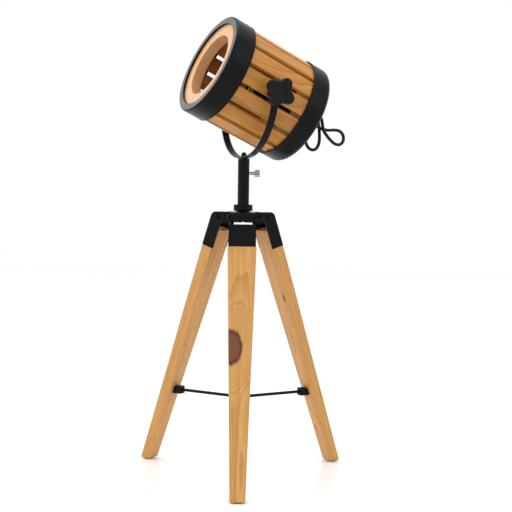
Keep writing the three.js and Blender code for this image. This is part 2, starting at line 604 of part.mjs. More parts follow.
// A flat two-pin plug: a waisted body, a tapered sleeve for the cord and two round pins.
function plugGeometry() {
  const thickness = 13.4;
  const tail = -12;
  const face = 26;
  const side = outline([[-6, tail], [6, tail], [12, tail + 10], [17.3, tail + 22], [17.3, face],
    [-17.3, face], [-17.3, tail + 22], [-12, tail + 10]]);
  const body = extruded(side, thickness).translate(0, 0, -thickness / 2);
  const sleeve = turned([[0, 0], [3.2, 0], [4.6, 19.4], [0, 19.4]], 20).rotateX(-Math.PI / 2)
    .translate(0, tail - 19, 0);
  const pins = [-9.3, 9.3].map((x) =>
    turned([[0, 0], [2, 0], [2, 18.4], [1.2, 19.2], [0, 19.2]], 16).rotateX(-Math.PI / 2)
      .translate(x, face - 0.2, 0));
  return behindHead(join(body, sleeve, ...pins), PLUG_CENTRE[0], 0, PLUG_CENTRE[1]);
}

// ---------------------------------------------------------------- assembly
function standGroup() {
  const stand = new THREE.Group();
  LEG_AZIMUTHS.forEach((azimuth, i) => {
    const name = LEG_NAMES[i];
    const leg = new THREE.Group();
    leg.rotation.z = azimuth;
    leg.add(
      mesh(`leg_${name}`, legGeometry(), pine()),
      mesh(`leg_cap_${name}`, capGeometry(), blackSteel()),
      mesh(`pivot_bolt_${name}`, boltGeometry(BOLT_STATIONS.pivot), blackSteel()),
      mesh(`lock_bolt_${name}`, boltGeometry(BOLT_STATIONS.lock), blackSteel()),
      mesh(`foot_glide_${name}`, glideGeometry(), blackPlastic()),
      mesh(`brace_block_${name}`, braceBlockGeometry(), blackSteel()),
    );
    stand.add(leg);
  });
  stand.add(
    mesh('hub', hubGeometry(), blackSteel()),
    mesh('brace', braceGeometry(), blackSteel()),
    mesh('post_tube', postGeometry(), blackSteel()),
    mesh('post_collar', collarGeometry(), blackSteel()),
    mesh('thumb_screw', thumbScrewGeometry(), zincSteel()),
  );
  return stand;
}

function yokeGroup() {
  const yoke = new THREE.Group();
  yoke.rotation.z = PAN;
  yoke.add(
    mesh('yoke_spigot', spigotGeometry(), zincSteel()),
    mesh('yoke_strap', strapGeometry(), blackSteel()),
    mesh('yoke_bolt', yokeBoltGeometry(), blackSteel()),
  );
  return yoke;
}

function headGroup() {
  const head = new THREE.Group();
  head.position.set(-Math.sin(PAN) * TILT_AXIS_SETBACK, Math.cos(PAN) * TILT_AXIS_SETBACK,
    TILT_AXIS_HEIGHT);
  head.rotation.set(TILT, 0, PAN, 'ZYX');
  for (let i = 0; i < SLAT_COUNT; i++) {
    head.add(mesh(`slat_${String(i + 1).padStart(2, '0')}`, slatGeometry(i), slatPine()));
  }
  head.add(
    mesh('front_band', frontBandGeometry(), blackSteel()),
    mesh('rear_cap', rearCapGeometry(), blackSteel()),
    mesh('front_ring', ringGeometry(FRONT_FACE - RIM_THICKNESS - 0.9, MOUTH_RADIUS), plywood()),
    mesh('rear_ring', ringGeometry(REAR_BAND_FRONT - 0.6, REAR_RING_INNER_RADIUS), plywood()),
    mesh('lamp_holder', lampHolderGeometry(), blackPlastic()),
    mesh('cord_gland', glandGeometry(), blackPlastic()),
    mesh('cord_lead', cordGeometry(CORD_LEAD, 76), blackVinyl()),
    mesh('cord_hank', hankGeometry(), blackVinyl()),
    mesh('cord_to_switch', cordGeometry(CORD_TO_SWITCH, 12), blackVinyl()),
    mesh('cord_to_plug', cordGeometry(CORD_TO_PLUG, 14), blackVinyl()),
    mesh('switch_body', switchBodyGeometry(), blackPlastic()),
    mesh('switch_rocker', switchRockerGeometry(), blackPlastic()),
    mesh('plug', plugGeometry(), blackPlastic()),
  );
  for (const [name, turn] of [['right', 0], ['left', Math.PI]]) {
    const side = new THREE.Group();
    side.rotation.z = turn;
    side.add(
      mesh(`pivot_stud_${name}`, studGeometry(), zincSteel()),
      mesh(`pivot_spacer_${name}`, spacerGeometry(), blackSteel()),
      mesh(`star_knob_${name}`, knobGeometry(), blackPlastic()),
    );
    head.add(side);
  }
  return head;
}

// The origin is under the middle of the lamp's own box, on the floor, the cord left out.
const CORD_NODES = ['cord_lead', 'cord_hank', 'cord_to_switch', 'cord_to_plug', 'switch_body',
  'switch_rocker', 'plug'];

const lamp = new THREE.Group();
lamp.add(standGroup(), yokeGroup(), headGroup());
lamp.updateMatrixWorld(true);

const box = new THREE.Box3();
lamp.traverse((piece) => {
  if (piece.isMesh && !CORD_NODES.includes(piece.name)) box.expandByObject(piece, true);
});
lamp.position.set(-(box.min.x + box.max.x) / 2, -(box.min.y + box.max.y) / 2, 0);

export default lamp;
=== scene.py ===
# %% [markdown]
# # A small tripod spotlight lamp
# The lamp is a slatted wooden drum that tilts in a steel yoke, on a post over three
# splayed legs. The mechanical shapes come from the CAD frame and stay where they are.
# This lesson adds what the frame can't hold: wood with grain and a knot, satin black
# paint, moulded knobs, a soft rubbery cord, a plain floor and studio light.

import json
import math

import bmesh
import bpy
from mathutils import Matrix, Quaternion, Vector

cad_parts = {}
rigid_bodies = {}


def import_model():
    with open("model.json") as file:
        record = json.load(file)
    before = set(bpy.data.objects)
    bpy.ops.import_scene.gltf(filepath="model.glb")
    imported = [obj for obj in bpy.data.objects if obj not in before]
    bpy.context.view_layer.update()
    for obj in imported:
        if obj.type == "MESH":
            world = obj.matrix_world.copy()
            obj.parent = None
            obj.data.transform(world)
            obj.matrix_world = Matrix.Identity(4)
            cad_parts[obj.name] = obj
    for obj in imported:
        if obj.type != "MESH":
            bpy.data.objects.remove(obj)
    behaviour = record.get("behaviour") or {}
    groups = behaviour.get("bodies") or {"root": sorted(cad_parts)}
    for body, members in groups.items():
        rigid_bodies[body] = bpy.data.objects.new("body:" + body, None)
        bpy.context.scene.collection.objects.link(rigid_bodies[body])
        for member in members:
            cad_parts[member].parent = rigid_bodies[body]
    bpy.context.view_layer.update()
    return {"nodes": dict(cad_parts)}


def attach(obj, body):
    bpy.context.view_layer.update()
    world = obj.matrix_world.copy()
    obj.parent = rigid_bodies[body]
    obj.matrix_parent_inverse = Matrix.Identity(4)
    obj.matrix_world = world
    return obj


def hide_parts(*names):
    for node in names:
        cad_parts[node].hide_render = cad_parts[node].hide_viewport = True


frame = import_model()

# %% [markdown]
# ## Where things are
# Everything on the lamp hangs from a few axes. The post stands a little off the origin,
# the head is panned about the post and tilted about the yoke's pivots, and each leg
# leans towards the post. A matrix for each of these lets the later steps work in simple
# local measures, such as millimetres along the drum or along a leg.

# %% The lamp's own axes
MM = 0.001
POST_FOOT = Vector((-0.0000023, 0.030902, 0.0))
TILT_AXIS_HEIGHT = 525 * MM
TILT_AXIS_SETBACK = 7.4 * MM
PAN = math.radians(-63.8)
TILT = math.radians(-24.4)
DRUM_LIFT = 12.4 * MM
DRUM_AHEAD = 10.4 * MM
REAR_FACE = -94.0
FRONT_FACE = 65.9
BAND_RADIUS = 71.8
LEG_AZIMUTHS = {"front": -90, "right": 30, "left": 150}
LEG_FOOT_RADIUS = 156 * MM
LEG_SPLAY = math.atan2(156 - 30.1, 365)

stand_frame = Matrix.Translation(POST_FOOT)
yoke_frame = stand_frame @ Matrix.Rotation(PAN, 4, "Z")
head_frame = (yoke_frame @ Matrix.Translation((0, TILT_AXIS_SETBACK, TILT_AXIS_HEIGHT))
              @ Matrix.Rotation(TILT, 4, "X"))
drum_middle = head_frame @ Matrix.Translation((0, -DRUM_AHEAD, DRUM_LIFT))
drum_frame = drum_middle @ Matrix.Rotation(math.radians(90), 4, "X")
leg_frames = {
    name: stand_frame @ Matrix.Rotation(math.radians(azimuth), 4, "Z")
    @ Matrix.Translation((LEG_FOOT_RADIUS, 0, 0)) @ Matrix.Rotation(-LEG_SPLAY, 4, "Y")
    for name, azimuth in LEG_AZIMUTHS.items()
}
print("drum points along", [round(c, 3) for c in drum_frame.to_3x3() @ Vector((0, 0, 1))])

# %% [markdown]
# ## Camera
# A long lens from a metre and a half away, level with the collar under the post and
# looking slightly down, keeps the legs nearly straight on and shows the open mouth.

# %% Camera
CAMERA_PITCH = math.radians(3.04)
CAMERA_ROLL = math.radians(0.88)

camera_data = bpy.data.cameras.new("camera")
camera_data.sensor_width = 36
camera_data.lens = 77.52
camera_data.clip_start = 0.05
camera = bpy.data.objects.new("camera", camera_data)
camera.location = Vector((18.94, -1535.9, 386.7)) * MM + POST_FOOT
camera.rotation_mode = "QUATERNION"
camera.rotation_quaternion = (
    Quaternion((1, 0, 0), math.pi / 2 - CAMERA_PITCH) @ Quaternion((0, 0, 1), CAMERA_ROLL))
bpy.context.scene.collection.objects.link(camera)
bpy.context.scene.camera = camera
print("camera at", [round(c, 3) for c in camera.location])

# %% [markdown]
# ## Mains cord
# The cord is a limp round lead, 4.6 mm thick and about a metre and a half long. It
# leaves the gland in the middle of the rear cap, makes two loose loops, and the rest is
# wound into a flat hank behind the cap, with the in-line switch and the plug beside it.
# A cord could be simulated, but it lies here in a known way, so its route is given as
# points behind the head and smoothed into one curve with a round section.

# %% Route of the cord
CORD_RADIUS = 2.3
HANK_X = -38.0
HANK_HEIGHT = 8.0
HALF_RUN = 29.0
OUTER_LANE = 18.6
INNER_LANE = 13.9
SWITCH_X = -77.0

LOOPS = [
    (0, 0, 24), (0, 0, 30), (0, 0, 37), (0, 3, 47.5), (0, 8, 57), (0.3, 10.5, 65.5), (1, 7.4, 72.9),
    (2, 0, 76), (3, -7.4, 72.9), (4, -10.5, 65.5), (5.3, -9.8, 56.5), (6.5, -6.8, 46.5),
    (7.5, -2, 37), (8.5, 5, 31.3), (9.7, 10.8, 25.5), (11, 13.5, 18.3), (12, 10.3, 10.5),
    (12.5, 2.5, 7.3), (12, -5, 9), (9.5, -12.5, 12.3), (6.5, -20, 16), (4.8, -26.5, 18.8),
    (4, -32, 23), (4, -35.5, 31), (3, -32.3, 38.8), (1.5, -24.5, 42), (-0.5, -16, 41.5),
    (-3, -7, 38.8), (-5.8, 2, 35.6), (-8, 8.5, 32.6), (-9.5, 13.4, 28.4), (-11, 15.5, 22),
    (-11.5, 12.3, 14.2), (-11, 4.5, 11), (-9.5, -5, 11.6), (-6.5, -14, 12.8), (-2.8, -21, 14),
    (-0.3, -27.5, 15.2), (0.6, -33.5, 15.9), (-2.3, -40.6, 16.2), (-9.4, -43.5, 16.2),
    (-16.5, -40.6, 16.2), (-19.3, -33.5, 16.2),
]
TO_SWITCH = [
    (-44, 56.6, 6.8), (-50, 57.6, 7.2), (-55, 58.4, 7.6), (-61, 57.8, 8.4), (-67, 55.4, 9.3),
    (-72, 51, 10.2), (-75.5, 45.2, 10.8), (-77, 38.5, 11), (-77, 31.6, 11),
]
TO_PLUG = [
    (-77, -31.6, 11), (-77, -38, 11.4), (-74, -46, 13.6), (-67, -51.5, 17.5), (-59, -51, 22),
    (-52.5, -44, 25.6), (-50, -35, 26.7), (-50, -31.4, 26.8), (-50, -27, 26.8),
]


def behind_head(point):
    """A point given as x, height and distance behind the rear face, in millimetres."""
    x, height, distance = point
    return drum_middle @ (Vector((x, distance - REAR_FACE, height)) * MM)


def hank_turns():
    """Flat oval turns: up the near run, over the top, and down the far run to the next lane."""
    lanes = [(OUTER_LANE, 16.2), (INNER_LANE, 16.2), (INNER_LANE, 11.4), (OUTER_LANE, 11.4),
             (OUTER_LANE, 6.5)]
    route = []
    for turn, (radius, distance) in enumerate(lanes):
        last = turn == len(lanes) - 1
        for along in (-0.75, -0.3, 0.3, 0.75):
            route.append((HANK_X + radius, HANK_HEIGHT + HALF_RUN * along, distance))
        for degrees in range(0, 91 if last else 181, 30):
            angle = math.radians(degrees)
            route.append((HANK_X + radius * math.cos(angle),
                          HANK_HEIGHT + HALF_RUN + radius * math.sin(angle), distance))
        if last:
            break
        next_radius, next_distance = lanes[turn + 1]
        for along in (0.75, 0.3, -0.3, -0.75):
            share = (1 - along) / 2
            share = share * share * (3 - 2 * share)
            route.append((HANK_X - radius - (next_radius - radius) * share,
                          HANK_HEIGHT + HALF_RUN * along,
                          distance + (next_distance - distance) * share))
        for degrees in range(180, 361, 30):
            angle = math.radians(degrees)
            route.append((HANK_X + next_radius * math.cos(angle),
                          HANK_HEIGHT - HALF_RUN + next_radius * math.sin(angle), next_distance))
    return route


def smoothed(points, steps=5):
    """Points along a centripetal Catmull-Rom curve through the given points."""
    points = [points[0] * 2 - points[1], *points, points[-1] * 2 - points[-2]]
    smooth = []
    for p0, p1, p2, p3 in zip(points, points[1:], points[2:], points[3:]):
        t1 = (p1 - p0).length ** 0.5
        t2 = t1 + (p2 - p1).length ** 0.5
        t3 = t2 + (p3 - p2).length ** 0.5
        for step in range(steps):
            t = t1 + (t2 - t1) * step / steps
            a1 = p0.lerp(p1, t / t1)
            a2 = p1.lerp(p2, (t - t1) / (t2 - t1))
            a3 = p2.lerp(p3, (t - t2) / (t3 - t2))
            b1 = a1.lerp(a2, t / t2)
            b2 = a2.lerp(a3, (t - t1) / (t3 - t1))
            smooth.append(b1.lerp(b2, (t - t1) / (t2 - t1)))
    return smooth + [points[-2]]


inside_switch = [(SWITCH_X, height, 11) for height in (20, 8, -8, -20)]
route = [behind_head(p) for p in LOOPS + hank_turns() + TO_SWITCH + inside_switch + TO_PLUG]
centreline = smoothed(route)
cord_length = sum((b - a).length for a, b in zip(centreline, centreline[1:]))
print("cord:", len(centreline), "points,", round(cord_length, 3), "m")

# %% The cord as one round curve
cord_curve = bpy.data.curves.new("mains_cord", "CURVE")
cord_curve.dimensions = "3D"
cord_curve.bevel_depth = 1.0
cord_curve.bevel_resolution = 3
cord_curve.use_fill_caps = True
spline = cord_curve.splines.new("POLY")
spline.points.add(len(centreline) - 1)
for point, place in zip(spline.points, centreline):
    point.co = (*place, 1)
    point.radius = CORD_RADIUS * MM
spline.use_smooth = True
mains_cord = bpy.data.objects.new("mains_cord", cord_curve)
bpy.context.scene.collection.objects.link(mains_cord)
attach(mains_cord, "head")
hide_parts("cord_lead", "cord_hank", "cord_to_switch", "cord_to_plug")

# %% [markdown]
# ## Making meshes
# Most parts of a lamp are turned, bent from strip, or moulded. Three small helpers cover
# them: one makes an object from rows of points joined into a skin, one turns a profile
# about the drum's axis, and one eases the edges of CAD pieces so that they catch light.

# %% Mesh helpers
def add_piece(name, body, rows, wrap_rows, placing, cap=False):
    """Joins rows of equally many points into a quad skin, places it and lets it ride."""
    build = bmesh.new()
    grid = [[build.verts.new(placing @ (Vector(p) * MM)) for p in row] for row in rows]
    pairs = list(zip(grid, grid[1:])) + ([(grid[-1], grid[0])] if wrap_rows else [])
    for low, high in pairs:
        for i in range(len(low)):
            j = (i + 1) % len(low)
            build.faces.new((low[i], low[j], high[j], high[i]))
    if cap:
        build.faces.new(list(reversed(grid[0])))
        build.faces.new(grid[-1])
    bmesh.ops.recalc_face_normals(build, faces=build.faces)
    mesh = bpy.data.meshes.new(name)
    build.to_mesh(mesh)
    build.free()
    mesh.polygons.foreach_set("use_smooth", [True] * len(mesh.polygons))
    piece = bpy.data.objects.new(name, mesh)
    bpy.context.scene.collection.objects.link(piece)
    even_shading(piece)
    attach(piece, body)
    return piece


def even_shading(piece):
    """Large faces keep their flat look and small rounded ones take the bend of the light."""
    shading = piece.modifiers.new("even_shading", "WEIGHTED_NORMAL")
    shading.weight = 100


def arc(centre_x, centre_y, radius, start, end, steps):
    """Profile points on an arc, angles in degrees."""
    angles = [math.radians(start + (end - start) * i / steps) for i in range(steps + 1)]
    return [(centre_x + radius * math.cos(a), centre_y + radius * math.sin(a)) for a in angles]


def turned(name, profile, segments=128):
    """A closed profile of radius and station, turned about the drum's axis."""
    spin = [math.tau * i / segments for i in range(segments)]
    rows = [[(r * math.cos(a), r * math.sin(a), z) for a in spin] for r, z in profile]
    return add_piece(name, "head", rows, True, drum_frame)


def ease_edges(names, width, limit=30):
    """Rounds the sharp edges of CAD pieces with modifiers, and leaves their meshes alone."""
    for name in names:
        piece = frame["nodes"][name]
        piece.data.polygons.foreach_set("use_smooth", [True] * len(piece.data.polygons))
        weld = piece.modifiers.new("weld", "WELD")
        weld.merge_threshold = 0.00001
        bevel = piece.modifiers.new("eased_edges", "BEVEL")
        bevel.width = width * MM
        bevel.segments = 2
        bevel.limit_method = "ANGLE"
        bevel.angle_limit = math.radians(limit)
        even_shading(piece)
    print("eased", len(names), "pieces by", width, "mm")


# %% [markdown]
# ## Bands, cap and mouth ring
# The drum's ends are held by two pieces of thin black steel. The front one is a sleeve
# with a flat lip, the rear one a shallow cup. A beaded edge stiffens each where it meets
# the slats. Turning a profile with many segments gives a clean highlight round them.

# %% Front band
SHEET = 1.2
FRONT_BAND_REAR = 35.7
REAR_BAND_FRONT = -62.9
RIM_BORE = 60.6
RIM_BACK = 63.5


def bead(radius, station, side):
    """The rolled edge of a sheet-steel band, on its outer face."""
    return [(radius + x, station + side * y) for x, y in
            ((0, 0.3), (0.25, 0.6), (0.35, 1.2), (0.25, 1.8), (0, 2.1))]


front_profile = (
    [(BAND_RADIUS - SHEET, FRONT_BAND_REAR + 0.2),
     (BAND_RADIUS - SHEET + 0.3, FRONT_BAND_REAR), (BAND_RADIUS - 0.3, FRONT_BAND_REAR)]
    + bead(BAND_RADIUS, FRONT_BAND_REAR, 1)
    + [(BAND_RADIUS, 45), (BAND_RADIUS, 55)]
    + arc(BAND_RADIUS - 3, FRONT_FACE - 3, 3, 0, 90, 8)
    + [(66, FRONT_FACE)]
    + arc(RIM_BORE + 1.2, FRONT_FACE - 1.2, 1.2, 90, 180, 5)
    + [(RIM_BORE, RIM_BACK + 0.2), (RIM_BORE + 0.2, RIM_BACK),
       (BAND_RADIUS - SHEET - 0.4, RIM_BACK), (BAND_RADIUS - SHEET, RIM_BACK - 0.4),
       (BAND_RADIUS - SHEET, 50)])
front_band = turned("front_band_steel", front_profile)
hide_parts("front_band")

# %% Rear cap
rear_profile = (
    [(5.3, REAR_FACE + SHEET - 0.2), (5.1, REAR_FACE + SHEET - 0.5), (5.1, REAR_FACE + 0.3),
     (5.4, REAR_FACE), (12, REAR_FACE), (30, REAR_FACE), (50, REAR_FACE)]
    + arc(BAND_RADIUS - 9, REAR_FACE + 9, 9, -90, 0, 12)
    + [(BAND_RADIUS, -75)]
    + list(reversed(bead(BAND_RADIUS, REAR_BAND_FRONT, -1)))
    + [(BAND_RADIUS - 0.3, REAR_BAND_FRONT), (BAND_RADIUS - SHEET + 0.3, REAR_BAND_FRONT),
       (BAND_RADIUS - SHEET, REAR_BAND_FRONT - 0.3)]
    + arc(BAND_RADIUS - 9, REAR_FACE + 9, 9 - SHEET, 0, -90, 12)
    + [(30, REAR_FACE + SHEET)])
rear_cap = turned("rear_cap_steel", rear_profile)
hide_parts("rear_cap")

# %% [markdown]
# The mouth ring is sawn from layered board. Its edges are only just eased, so the layers
# show as thin lines in the bore. It needs no more than a profile with small roundings.

# %% Layered wooden rings
def ring_profile(front, inner, outer=62.9, thickness=15.0, ease=0.9):
    """A flat ring with eased inner edges, as radius and station."""
    back = front - thickness
    return (arc(inner + ease, back + ease, ease, 180, 270, 4)
            + [(outer - 0.3, back), (outer, back + 0.3), (outer, front - 0.3),
               (outer - 0.3, front)]
            + arc(inner + ease, front - ease, ease, 90, 180, 4))


mouth_ring = turned("mouth_ring", ring_profile(62.6, 44.2))
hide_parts("front_ring")
back_ring = turned("back_ring", ring_profile(-63.5, 30.0))
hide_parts("rear_ring")
print("turned pieces:", [o.name for o in (front_band, rear_cap, mouth_ring, back_ring)])

# %% [markdown]
# Each band is pinned by a small round-headed screw at the top. A few rings of points
# stacked into a low dome are all that such a screw needs.

# %% Band screws
def band_screw(name, station):
    """A low domed screw head, a little to one side of the drum's top."""
    dome = [(2.1, -0.4), (2.1, 0.25), (1.8, 0.8), (1.1, 1.2), (0.3, 1.3)]
    spin = [math.tau * i / 20 for i in range(20)]
    rows = [[(r * math.cos(a), r * math.sin(a), z) for a in spin] for r, z in dome]
    placing = (drum_frame @ Matrix.Rotation(math.radians(-10), 4, "Z")
               @ Matrix.Translation((0, BAND_RADIUS * MM, station * MM))
               @ Matrix.Rotation(-math.pi / 2, 4, "X"))
    return add_piece(name, "head", rows, False, placing, cap=True)


band_screws = [band_screw("front_band_screw", 40.5), band_screw("rear_cap_screw", -65.6)]
print("screws:", [screw.name for screw in band_screws])

# %% [markdown]
# ## Yoke strap
# The yoke is one strip of steel, 10 mm wide and 2 mm thick, bent into a U with a short
# flat seat on the post. A strip is best swept: a rounded cross-section is carried along
# the bend, and the ends are rounded by narrowing the section over the last few steps.

# %% Bent strap
STRAP_HALF_SPAN = 80.0
STRAP_FLAT = 4.0
STRAP_SHEET = 2.0
STRAP_BOTTOM = 440.7
STRAP_SEAT = STRAP_BOTTOM + STRAP_SHEET
STRAP_MIDDLE = STRAP_BOTTOM + STRAP_SHEET / 2 + STRAP_HALF_SPAN - STRAP_FLAT
STRAP_TOP = TILT_AXIS_HEIGHT / MM
STRAP_WIDTH = 10.0


def strap_line():
    """Stations on the strap's centre sheet: place, outward normal and width."""
    bend = STRAP_HALF_SPAN - STRAP_FLAT
    line = []
    for degrees in range(85, -1, -10):
        angle = math.radians(degrees)
        line.append((STRAP_HALF_SPAN, STRAP_TOP + STRAP_WIDTH / 2 * math.sin(angle), 1, 0,
                     STRAP_WIDTH * math.cos(angle)))
    for step in range(1, 4):
        height = STRAP_TOP + (STRAP_MIDDLE - STRAP_TOP) * step / 4
        line.append((STRAP_HALF_SPAN, height, 1, 0, STRAP_WIDTH))
    for step in range(37):
        angle = -math.pi / 2 * step / 36
        line.append((STRAP_FLAT + bend * math.cos(angle), STRAP_MIDDLE + bend * math.sin(angle),
                     math.cos(angle), math.sin(angle), STRAP_WIDTH))
    return line + [(-x, z, -nx, nz, width) for x, z, nx, nz, width in reversed(line)]


def leaned(x, y, z):
    """The arms lean back from the seat to the tilt axis."""
    share = max(0.0, (z - STRAP_SEAT) / (STRAP_TOP - STRAP_SEAT))
    return (x, y + TILT_AXIS_SETBACK / MM * share, z)


def strap_rows(ease=0.35):
    """An eased rectangular section at every station of the strap."""
    half = STRAP_SHEET / 2
    rows = []
    for x, z, nx, nz, width in strap_line():
        side = max(width / 2, 0.2)
        soft = min(ease, side / 2)
        section = [(half, -side + soft), (half, side - soft), (half - soft, side),
                   (-half + soft, side), (-half, side - soft), (-half, -side + soft),
                   (-half + soft, -side), (half - soft, -side)]
        rows.append([leaned(x + nx * out, across, z + nz * out) for out, across in section])
    return rows


strap = add_piece("yoke_strap_steel", "yoke", strap_rows(), False, yoke_frame,
                  cap=True)
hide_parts("yoke_strap")

# %% [markdown]
# ## Star knobs
# Each clamp knob is a four-lobed plastic star on a short boss. It could be cut from a
# disc, but a moulded knob has soft shoulders and a slightly sunk face. So the star's
# outline is stacked in layers that first swell and then close in over the shoulder.

# %% Moulded knobs
KNOB_POINTS = 96
KNOB_WAIST = 14.6
KNOB_TIP = 21.0
KNOB_START = 81.3
KNOB_TURN = math.radians(55) - TILT


def star_radius(angle):
    """Radius of the four-lobed outline in a given direction."""
    lobe = min(1.0, 1.12 * (1 + math.cos(4 * angle)) / 2)
    return KNOB_WAIST + (KNOB_TIP - KNOB_WAIST) * lobe


def knob_rows():
    """Rows from the boss's foot, over the star's rounded rims, to the middle of its face."""
    spin = [math.tau * i / KNOB_POINTS for i in range(KNOB_POINTS)]
    layers = [(3.2, 0, 0), (8.0, 0, 0), (8.2, 0.6, 0), (8.4, 3, 0), (9.3, 5.6, 0)]
    layers += [(-2.2, 6.0, 1), (-1.1, 6.2, 1), (-0.4, 6.8, 1), (0, 8, 1), (0, 12, 1), (0, 15.6, 1)]
    layers += [(-0.35, 16.8, 1), (-1.1, 17.6, 1), (-2.2, 18, 1)]
    layers += [(9.2, 18, 0), (8.4, 17.7, 0), (7.6, 17.0, 0), (3, 16.9, 0), (0.4, 16.9, 0)]
    rows = []
    for amount, height, starry in layers:
        radii = [star_radius(a) + amount if starry else amount for a in spin]
        rows.append([(r * math.cos(a), r * math.sin(a), height) for r, a in zip(radii, spin)])
    return rows


for name, turn in (("right", 0), ("left", math.pi)):
    placing = (head_frame @ Matrix.Rotation(turn, 4, "Z")
               @ Matrix.Rotation(math.pi / 2, 4, "Y")
               @ Matrix.Translation((0, 0, KNOB_START * MM))
               @ Matrix.Rotation(KNOB_TURN, 4, "Z"))
    knob = add_piece(f"star_knob_{name}_moulded", f"knob_{name}", knob_rows(),
                     False, placing, cap=True)
    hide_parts(f"star_knob_{name}")
    print(knob.name, len(knob.data.vertices), "points")

# %% [markdown]
# ## Socket liner
# Inside the black lamp holder sits a thin brass sleeve with a rounded screw thread. It
# is seen only through the drum's mouth. Ridges in the turned profile are enough for it.

# %% Brass thread in the socket
liner_stations = [-34.9 + 0.5 * i for i in range(54)]
liner_outer = [(12.9 - 0.3 * math.cos(math.tau * z / 3.6), z) for z in liner_stations]
liner_inner = [(r - 0.35, z) for r, z in reversed(liner_outer)]
liner = turned("socket_liner", liner_outer + liner_inner, 64)
print("liner:", len(liner.data.polygons), "faces")

# %% [markdown]
# ## Hank tie
# A soft flat tie holds the hank at its middle. It is one short strip wrapped round the
# turns, drawn as a rounded loop with a thin section.

# %% Hank tie
TIE_MIDDLE = 11.3


def tie_rows():
    """A strip 6 mm wide around the hank, with its section square to the loop."""
    half_x, half_d, corner = 21.9, 7.9, 3.0
    rows = []
    for centre_x, centre_d, start in ((1, 1, 0), (-1, 1, 90), (-1, -1, 180), (1, -1, 270)):
        for degrees in range(start, start + 91, 15):
            angle = math.radians(degrees)
            out = Vector((math.cos(angle), math.sin(angle)))
            middle = Vector((centre_x * (half_x - corner), centre_d * (half_d - corner)))
            row = []
            for swell, across in ((0, -3), (0.5, -2.8), (0.5, 2.8), (0, 3), (-0.4, 2.8), (-0.4, -2.8)):
                flat = middle + out * (corner + swell)
                row.append((HANK_X + flat.x, TIE_MIDDLE - REAR_FACE + flat.y, HANK_HEIGHT + across))
            rows.append(row)
    return rows


hank_tie = add_piece("hank_tie", "head", tie_rows(), True,
                     drum_middle)

# %% [markdown]
# ## Eased edges
# The CAD pieces have dead sharp edges. Real sheet steel, planed wood and moulded plastic
# are all a little rounded, and it is that rounding that draws a thin line of light. A
# bevel modifier gives it without touching the frame's own meshes.

# %% Ease the CAD pieces
slat_names = [f"slat_{i:02d}" for i in range(1, 16)]
leg_names = [f"leg_{name}" for name in LEG_AZIMUTHS]
cap_names = [f"leg_cap_{name}" for name in LEG_AZIMUTHS]
bolt_names = [f"{kind}_bolt_{name}" for kind in ("pivot", "lock") for name in LEG_AZIMUTHS]
block_names = [f"brace_block_{name}" for name in LEG_AZIMUTHS]
glide_names = [f"foot_glide_{name}" for name in LEG_AZIMUTHS]
turned_names = ["post_tube", "post_collar", "yoke_bolt", "yoke_spigot", "lamp_holder",
                "cord_gland", "pivot_stud_right", "pivot_stud_left", "pivot_spacer_right",
                "pivot_spacer_left"]
ease_edges(slat_names + leg_names, 0.25, 50)
ease_edges(cap_names + ["hub"], 0.4)
ease_edges(block_names, 0.8)
ease_edges(["brace"], 0.2, 50)
ease_edges(bolt_names + glide_names + turned_names, 0.12, 35)
ease_edges(["switch_body", "plug"], 1.0, 40)
ease_edges(["switch_rocker"], 0.4)

# %% [markdown]
# ## Wiring helper
# A finish is a chain of small steps: a pattern, a mask made from it, and two colours
# mixed by the mask. This helper adds nodes and joins them, so that each finish below
# reads as that list of steps.

# %% Shader wiring
class Wiring:
    """Adds nodes to one shader tree and joins them."""

    def __init__(self, tree):
        self.tree = tree

    def feed(self, socket, value):
        if isinstance(value, bpy.types.NodeSocket):
            self.tree.links.new(value, socket)
        else:
            socket.default_value = value

    def add(self, kind, inputs=None, **settings):
        node = self.tree.nodes.new(kind if kind.startswith("NodeGroup") else "ShaderNode" + kind)
        for key, value in settings.items():
            setattr(node, key, value)
        for key, value in (inputs or {}).items():
            self.feed(node.inputs[key], value)
        return node

    def math(self, operation, first, second=0.0, clamp=False):
        return self.add("Math", {0: first, 1: second}, operation=operation,
                        use_clamp=clamp).outputs[0]

    def spread(self, value, low, high, to_low=0.0, to_high=1.0):
        return self.add("MapRange", {"Value": value, "From Min": low, "From Max": high,
                                     "To Min": to_low, "To Max": to_high}).outputs[0]

    def blend(self, mask, first, second, mode="MIX"):
        return self.add("Mix", {0: mask, 6: first, 7: second}, data_type="RGBA",
                        blend_type=mode).outputs[2]

    def noise(self, vector, scale, stretch=(1, 1, 1), detail=2.0, rough=0.5):
        stretched = self.add("Mapping", {"Vector": vector, "Scale": stretch}).outputs[0]
        return self.add("TexNoise", {"Vector": stretched, "Scale": scale, "Detail": detail,
                                     "Roughness": rough}).outputs["Fac"]


def new_group(name, inputs, outputs):
    """An empty node group with named sockets, its wiring helper, and its two ends."""
    group = bpy.data.node_groups.new(name, "ShaderNodeTree")
    for label, kind, value in inputs:
        socket = group.interface.new_socket(label, in_out="INPUT", socket_type="NodeSocket" + kind)
        if value is not None:
            socket.default_value = value
    for label in outputs:
        group.interface.new_socket(label, in_out="OUTPUT", socket_type="NodeSocketFloat")
    wires = Wiring(group)
    return group, wires, wires.add("NodeGroupInput").outputs, wires.add("NodeGroupOutput").inputs


# %% [markdown]
# ## Wood figure
# A sawn board shows slices of the tree's rings. The simplest true-to-life way is to
# measure each point's distance from the tree's heart, bend that distance with slow
# noise, and repeat it every few millimetres. Round a knot, the rings turn into ovals, so
# the distance from the knot takes over near it. A knot is a branch that slants through
# the board, so its centre moves with depth. Fine fibre and slow streaks complete it.

# %% Wood figure as a shared group
LEG_FACE_DEPTH = 0.0086

